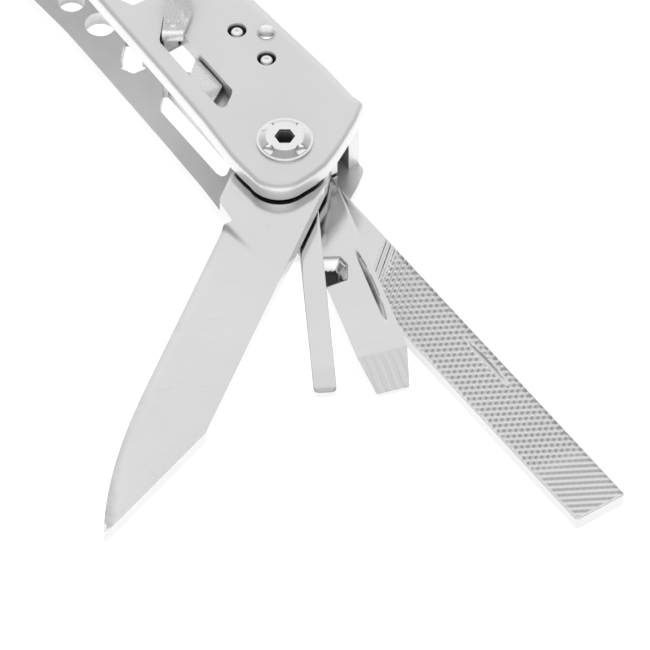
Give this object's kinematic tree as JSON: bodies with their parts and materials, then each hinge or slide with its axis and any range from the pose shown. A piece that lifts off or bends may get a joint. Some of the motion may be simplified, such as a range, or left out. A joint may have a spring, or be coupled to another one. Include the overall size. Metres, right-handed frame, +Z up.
{
  "type": "multi tool",
  "caption": "Folding plier multi tool with channel handles and fanned blades, drivers, openers, saw and file, all on real pivots.",
  "frame": {"origin": "on the surface that the tool lies on, under the middle of the fanned tool's box", "axes": "+Y along the closed jaws, +Z up through the two walls of the handles, +X from the left handle to the right handle"},
  "size_m": [0.2235, 0.207, 0.0232],
  "materials": {
    "handle_steel": "satin blasted stainless sheet",
    "tool_steel": "fine satin ground stainless",
    "bright_steel": "polished stainless",
    "spring_steel": "rolled spring strip",
    "jaw_steel": "satin cast and ground steel"
  },
  "bodies": {
    "handle_a": {"handle_a": "handle_steel", "tool_bolt_a": "bright_steel", "tool_nut_a": "bright_steel", "tool_washers_a": "bright_steel", "back_spring_a": "spring_steel", "spring_rivet_a": "bright_steel", "spring_pins_a": "bright_steel", "head_bolt_a": "bright_steel", "head_nut_a": "bright_steel", "head_spacers_a": "bright_steel"},
    "lock_a": {"lock_slider_a": "spring_steel"},
    "knife": {"knife": "tool_steel"},
    "small_driver": {"small_driver": "tool_steel"},
    "bottle_opener": {"bottle_opener": "tool_steel"},
    "file": {"file": "tool_steel"},
    "handle_b": {"handle_b": "handle_steel", "tool_bolt_b": "bright_steel", "tool_nut_b": "bright_steel", "tool_washers_b": "bright_steel", "back_spring_b": "spring_steel", "spring_rivet_b": "bright_steel", "spring_pins_b": "bright_steel", "head_bolt_b": "bright_steel", "head_nut_b": "bright_steel", "head_spacers_b": "bright_steel"},
    "lock_b": {"lock_slider_b": "spring_steel"},
    "saw": {"saw": "tool_steel"},
    "phillips_driver": {"phillips_driver": "tool_steel"},
    "can_opener": {"can_opener": "tool_steel"},
    "serrated_blade": {"serrated_blade": "tool_steel"},
    "jaw_a": {"jaw_a": "jaw_steel", "jaw_rivet": "bright_steel"},
    "jaw_b": {"jaw_b": "jaw_steel"}
  },
  "joints": [
    {"name": "fold_a", "type": "hinge", "parent": "handle_a", "child": "jaw_a", "pos_m": [-0.011, 0.05347, 0.0094], "axis": [0, 0, -1], "range_deg": [-162.5, 0]},
    {"name": "jaw_open", "type": "hinge", "parent": "jaw_a", "child": "jaw_b", "pos_m": [0, 0.06847, 0.0094], "axis": [0, 0, 1], "range_deg": [0, 35]},
    {"name": "fold_b", "type": "hinge", "parent": "jaw_b", "child": "handle_b", "pos_m": [0.011, 0.05347, 0.0094], "axis": [0, 0, -1], "range_deg": [-162.5, 0]},
    {"name": "knife_open", "type": "hinge", "parent": "handle_a", "child": "knife", "pos_m": [-0.04153, -0.03337, 0.0094], "axis": [0, 0, 1], "range_deg": [-125, 55]},
    {"name": "small_driver_open", "type": "hinge", "parent": "handle_a", "child": "small_driver", "pos_m": [-0.04153, -0.03337, 0.0094], "axis": [0, 0, 1], "range_deg": [-149.5, 30.5]},
    {"name": "bottle_opener_open", "type": "hinge", "parent": "handle_a", "child": "bottle_opener", "pos_m": [-0.04153, -0.03337, 0.0094], "axis": [0, 0, 1], "range_deg": [-163, 17]},
    {"name": "file_open", "type": "hinge", "parent": "handle_a", "child": "file", "pos_m": [-0.04153, -0.03337, 0.0094], "axis": [0, 0, 1], "range_deg": [-180, 0]},
    {"name": "lock_slide_a", "type": "slide", "parent": "handle_a", "child": "lock_a", "axis": [-0.3007, -0.9537, 0], "range_m": [0, 0.002]},
    {"name": "saw_open", "type": "hinge", "parent": "handle_b", "child": "saw", "pos_m": [0.04153, -0.03337, 0.0094], "axis": [0, 0, -1], "range_deg": [-125, 55]},
    {"name": "phillips_driver_open", "type": "hinge", "parent": "handle_b", "child": "phillips_driver", "pos_m": [0.04153, -0.03337, 0.0094], "axis": [0, 0, -1], "range_deg": [-149.5, 30.5]},
    {"name": "can_opener_open", "type": "hinge", "parent": "handle_b", "child": "can_opener", "pos_m": [0.04153, -0.03337, 0.0094], "axis": [0, 0, -1], "range_deg": [-163, 17]},
    {"name": "serrated_blade_open", "type": "hinge", "parent": "handle_b", "child": "serrated_blade", "pos_m": [0.04153, -0.03337, 0.0094], "axis": [0, 0, -1], "range_deg": [-180, 0]},
    {"name": "lock_slide_b", "type": "slide", "parent": "handle_b", "child": "lock_b", "axis": [0.3007, -0.9537, 0], "range_m": [0, 0.002]}
  ]
}
